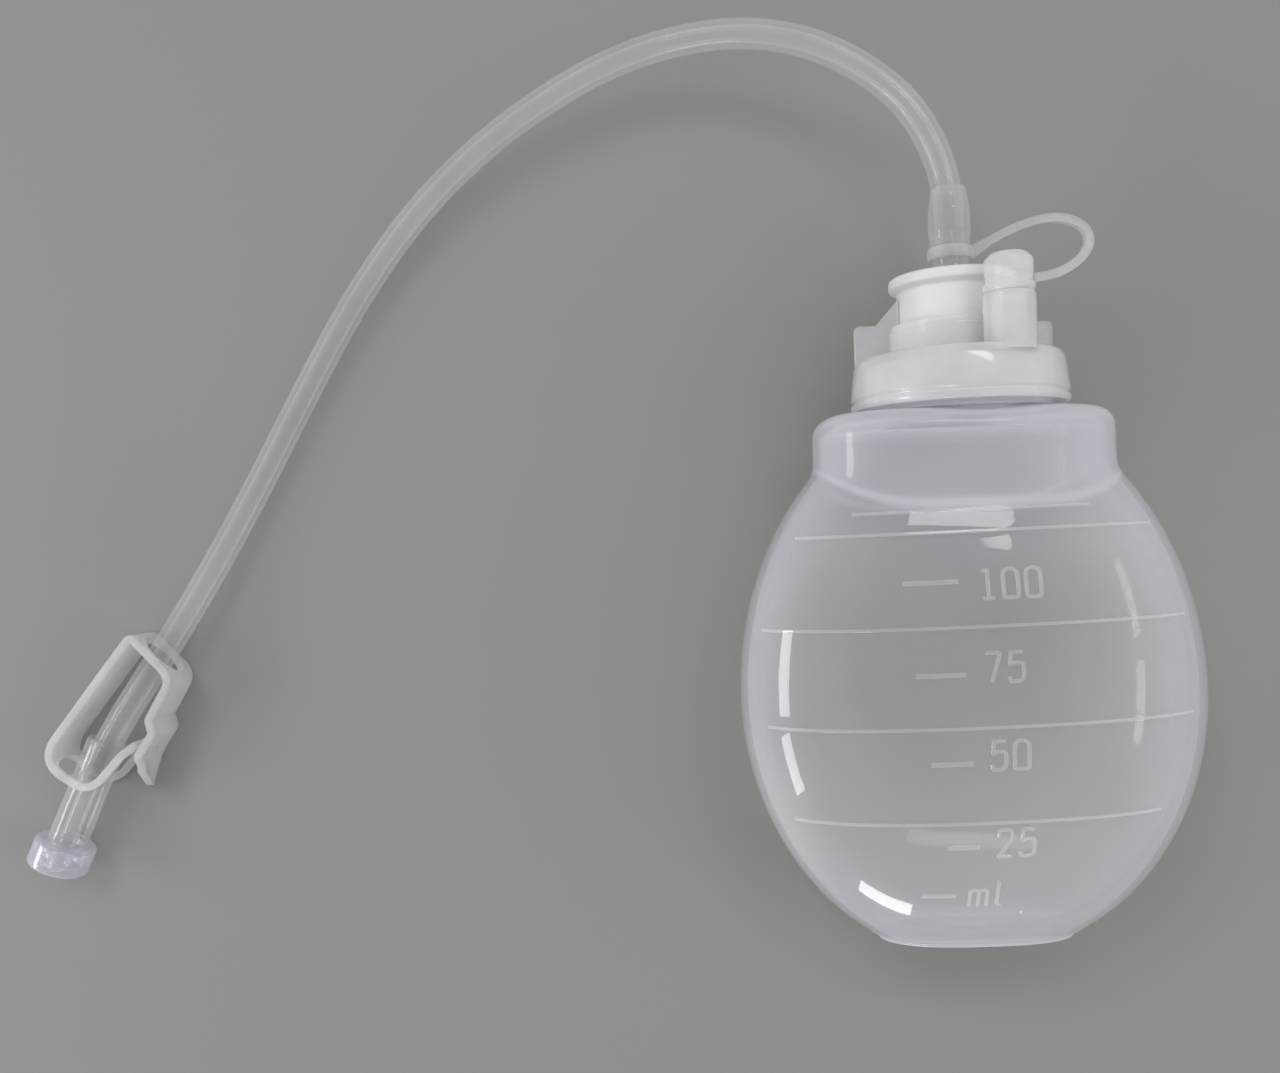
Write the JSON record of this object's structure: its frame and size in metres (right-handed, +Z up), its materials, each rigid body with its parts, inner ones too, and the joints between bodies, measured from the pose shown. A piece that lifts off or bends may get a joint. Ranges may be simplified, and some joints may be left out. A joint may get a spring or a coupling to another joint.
{
  "type": "closed wound drainage system",
  "caption": "Flat oval squeeze bulb with a capped neck, stopper, tethered outlet plug, drain tube, pinch clamp and end connector with a turning collar.",
  "frame": {"origin": "on the table, below the bulb's axis, halfway between the bulb's flat base and the sleeve's top", "axes": "+Y along the bulb's axis from its base to its neck, +Z up from the table, +X to the right of the graduated face"},
  "size_m": [0.2025, 0.1557, 0.0403],
  "materials": {
    "bulb_plastic": "milky translucent, satin gloss",
    "cap_plastic": "milky translucent, glossy",
    "white_plastic": "opaque satin white",
    "valve_rubber": "translucent silicone",
    "clear_plastic": "clear, glossy",
    "plug_plastic": "translucent, soft",
    "clear_tube": "clear flexible tube",
    "clamp_plastic": "natural milky moulding, satin",
    "collar_plastic": "bluish clear, glossy"
  },
  "bodies": {
    "root": {"bulb": "bulb_plastic", "port_cap": "cap_plastic", "inlet_stopper": "white_plastic", "inlet_valve": "valve_rubber", "inlet_nipple": "clear_plastic", "connector_sleeve": "clear_plastic", "plug_tether": "plug_plastic", "drain_tube": "clear_tube", "connector_hub": "clear_plastic"},
    "plug": {"port_plug": "plug_plastic"},
    "clamp": {"clamp_frame": "clamp_plastic"},
    "arm": {"clamp_arm": "clamp_plastic"},
    "collar": {"lock_collar": "collar_plastic"}
  },
  "joints": [
    {"name": "plug_pull", "type": "slide", "parent": "root", "child": "plug", "axis": [0, 1, 0], "range_m": [0, 0.012], "deforming": ["plug_tether"]},
    {"name": "clamp_slide", "type": "slide", "parent": "root", "child": "clamp", "axis": [0.5633, 0.8262, -0.0031], "range_m": [0, 0.009]},
    {"name": "clamp_press", "type": "hinge", "parent": "clamp", "child": "arm", "pos_m": [-0.15628, -0.03373, 0.00506], "axis": [-0.0199, 0.0173, 0.9997], "range_deg": [0, 7.5]},
    {"name": "collar_spin", "type": "hinge", "parent": "root", "child": "collar", "pos_m": [-0.15881, -0.04754, 0.00534], "axis": [-0.4004, -0.9163, 0.0124], "continuous": true}
  ]
}
